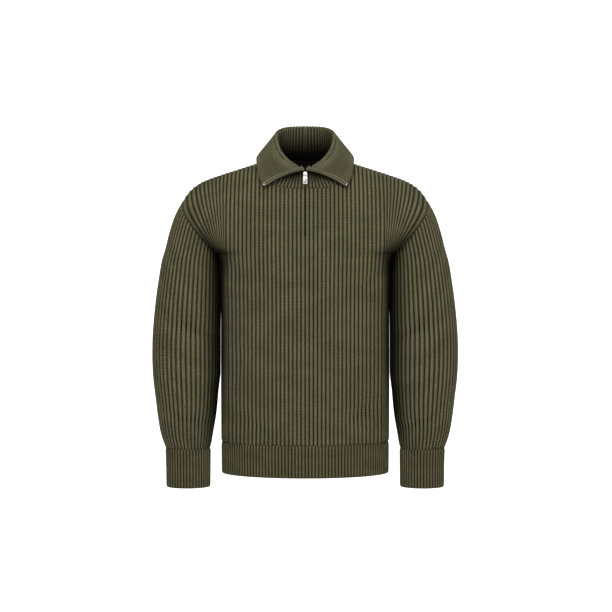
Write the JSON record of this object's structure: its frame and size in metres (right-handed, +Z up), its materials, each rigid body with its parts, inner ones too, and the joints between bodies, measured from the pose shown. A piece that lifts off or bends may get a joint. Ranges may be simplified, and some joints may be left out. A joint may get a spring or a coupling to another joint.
{
  "type": "quarter zip sweater",
  "caption": "Hollow filled-out quarter zip sweater in chunky rib knit, with a folded-over zip collar, drop shoulders, ribbed cuffs and hem, and a hinged metal zip pull.",
  "frame": {"origin": "on the centre plane, level with the tops of the shoulders beside the neck, where the wearer's shoulders carry the sweater", "axes": "+X to the wearer's left, -Y to the front of the sweater, +Z up"},
  "size_m": [0.6698, 0.2336, 0.797],
  "materials": {
    "rib_knit": "olive green chunky half-cardigan rib knit, soft and matt, slightly marled, dark grooves between the ribs",
    "band_rib": "olive green finer rib knit, matt, closer and a little darker than the body",
    "collar_rib": "olive green finer rib knit, matt, a little lighter where it folds over",
    "label": "black woven satin, bare",
    "zip_tape": "taupe woven tape, matt",
    "zip_metal": "bright polished nickel"
  },
  "bodies": {
    "sweater": {"front": "rib_knit", "back": "rib_knit", "sleeve_left": "rib_knit", "sleeve_right": "rib_knit", "cuff_left": "band_rib", "cuff_right": "band_rib", "hem_front": "band_rib", "hem_back": "band_rib", "collar": "collar_rib", "neck_label": "label", "zip_tape_left": "zip_tape", "zip_tape_right": "zip_tape", "zip_chain": "zip_metal", "zip_slider": "zip_metal", "zip_top_stop_left": "zip_metal", "zip_top_stop_right": "zip_metal"},
    "pull": {"zip_pull": "zip_metal"}
  },
  "joints": [
    {"name": "pull_hinge", "type": "hinge", "parent": "sweater", "child": "pull", "pos_m": [0, -0.09966, -0.03955], "axis": [-1, 0, 0], "range_deg": [0, 120]}
  ]
}
